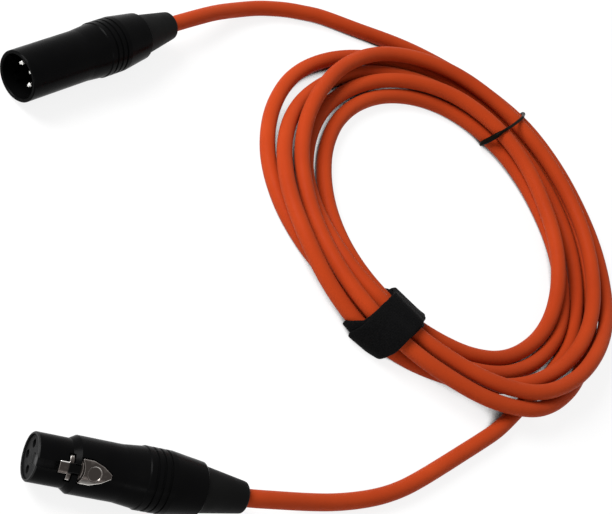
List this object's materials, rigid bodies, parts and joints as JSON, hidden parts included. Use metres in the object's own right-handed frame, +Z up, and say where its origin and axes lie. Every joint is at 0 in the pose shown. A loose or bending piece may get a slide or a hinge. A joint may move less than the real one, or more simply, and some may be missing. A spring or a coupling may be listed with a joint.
{
  "type": "microphone cable coil",
  "caption": "Orange microphone cable wound into a flat round coil, held by a black hook-and-loop strap and a twist tie, with a pin connector and a latching socket connector.",
  "frame": {"origin": "on the table under the middle of the part's bounding box", "axes": "+Z up from the table, +Y along the pin connector from its rim to its boot and towards the coil, +X to the right of that"},
  "size_m": [0.2146, 0.3102, 0.021],
  "materials": {
    "satin_black_shell": "satin black",
    "black_plastic": "matte",
    "silver_contact": "bright silver plate",
    "grey_plastic": "matte",
    "black_rubber": "matte",
    "red_core": "matte",
    "white_core": "matte",
    "bare_copper": "twisted strands",
    "chrome_latch": "polished",
    "spring_steel": "plain",
    "orange_jacket": "matte soft plastic",
    "black_webbing": "woven, hook and loop",
    "black_tie": "matte"
  },
  "bodies": {
    "cable_and_connectors": {"male_shell": "satin_black_shell", "male_insert": "black_plastic", "male_pin_1": "silver_contact", "male_pin_2": "silver_contact", "male_pin_3": "silver_contact", "male_chuck": "grey_plastic", "male_bushing": "satin_black_shell", "male_boot": "black_rubber", "male_hot_wire": "red_core", "male_cold_wire": "white_core", "male_shield_wire": "bare_copper", "female_shell": "satin_black_shell", "female_face": "black_plastic", "female_insert": "black_plastic", "female_contact_1": "silver_contact", "female_contact_2": "silver_contact", "female_contact_3": "silver_contact", "latch_pivot_pin": "spring_steel", "latch_spring": "spring_steel", "female_chuck": "grey_plastic", "female_bushing": "satin_black_shell", "female_boot": "black_rubber", "female_hot_wire": "red_core", "female_cold_wire": "white_core", "female_shield_wire": "bare_copper", "male_lead": "orange_jacket", "cable_coil": "orange_jacket", "female_lead": "orange_jacket", "hook_and_loop_strap": "black_webbing", "twist_tie": "black_tie"},
    "latch": {"latch_lever": "chrome_latch"}
  },
  "joints": [
    {"name": "latch_press", "type": "hinge", "parent": "cable_and_connectors", "child": "latch", "pos_m": [0.04284, -0.13233, 0.01591], "axis": [0.6455, -0.5043, -0.5736], "range_deg": [0, 5], "stiffness_Nm_per_rad": 0.25, "springref_deg": -2.86, "deforming": ["latch_spring"]}
  ]
}
